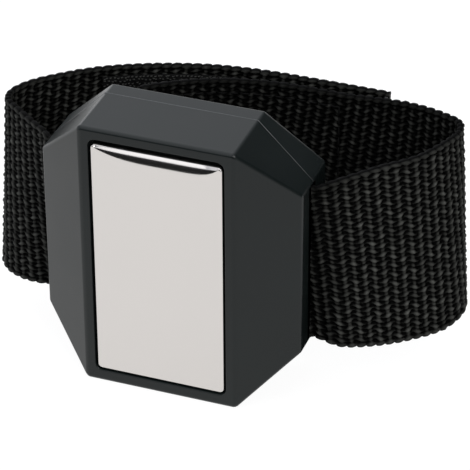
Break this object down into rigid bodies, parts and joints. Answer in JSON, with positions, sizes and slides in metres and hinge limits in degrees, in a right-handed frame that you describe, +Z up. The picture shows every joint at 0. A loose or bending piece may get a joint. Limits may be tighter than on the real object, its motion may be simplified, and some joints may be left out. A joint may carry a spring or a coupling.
{
  "type": "magnetic wristband",
  "caption": "Webbing wristband with a faceted plastic housing whose steel face, backed by magnets, holds screws, nails and bits; the strap closes with hook and loop tape.",
  "frame": {"origin": "centre of the flat lower end of the housing", "axes": "+Z up along the housing's height, -Y out of the steel face, +X to the right as the face is looked at"},
  "size_m": [0.106, 0.0583, 0.064],
  "materials": {
    "moulded": "fine satin texture, dark grey",
    "steel_face": "satin stainless, rolled edge",
    "foam_tape": "matt foam",
    "ferrite": "matt sintered",
    "zinc_steel": "zinc plated",
    "webbing": "coarse woven, matt black",
    "hook_tape": "rows of small hooks, matt black",
    "loop_tape": "napped loops, matt black"
  },
  "bodies": {
    "housing": {"front_shell": "moulded", "rear_cover": "moulded", "face_plate": "steel_face", "plate_tape": "foam_tape", "magnet_lower": "ferrite", "magnet_middle": "ferrite", "magnet_upper": "ferrite", "back_iron": "zinc_steel", "magnet_retainer": "moulded", "cover_screw_1": "zinc_steel", "cover_screw_2": "zinc_steel", "cover_screw_3": "zinc_steel", "cover_screw_4": "zinc_steel", "strap_core": "webbing"},
    "left_arm": {"strap_left_arm": "webbing"},
    "tail_root": {"strap_tail_root": "webbing", "hook_patch_root": "hook_tape"},
    "tail_mid": {"strap_tail_mid": "webbing", "hook_patch_mid": "hook_tape"},
    "tail_end": {"strap_tail_end": "webbing", "hook_patch_end": "hook_tape"},
    "right_arm": {"strap_right_arm": "webbing"},
    "inner_flap": {"strap_inner_flap": "webbing", "loop_patch": "loop_tape"}
  },
  "joints": [
    {"name": "left_arm_swing", "type": "hinge", "parent": "housing", "child": "left_arm", "pos_m": [-0.02945, 0.00365, 0.032], "axis": [0, 0, 1], "range_deg": [0, 40]},
    {"name": "tail_root_bend", "type": "hinge", "parent": "left_arm", "child": "tail_root", "pos_m": [-0.04735, 0.02005, 0.032], "axis": [0, 0, 1], "range_deg": [0, 90]},
    {"name": "tail_mid_bend", "type": "hinge", "parent": "tail_root", "child": "tail_mid", "pos_m": [-0.02038, 0.04289, 0.032], "axis": [0, 0, 1], "range_deg": [0, 35]},
    {"name": "tail_end_peel", "type": "hinge", "parent": "tail_mid", "child": "tail_end", "pos_m": [0.00389, 0.04815, 0.032], "axis": [0, 0, 1], "range_deg": [0, 45]},
    {"name": "right_arm_swing", "type": "hinge", "parent": "housing", "child": "right_arm", "pos_m": [0.02945, 0.00365, 0.032], "axis": [0, 0, -1], "range_deg": [0, 27.5]},
    {"name": "inner_flap_flex", "type": "hinge", "parent": "right_arm", "child": "inner_flap", "pos_m": [0.02386, 0.04253, 0.032], "axis": [0, 0, 1], "range_deg": [0, 12]}
  ],
  "couplings": [
    {"joint": "right_arm_swing", "follows": "tail_root_bend", "ratio": 0.3}
  ]
}
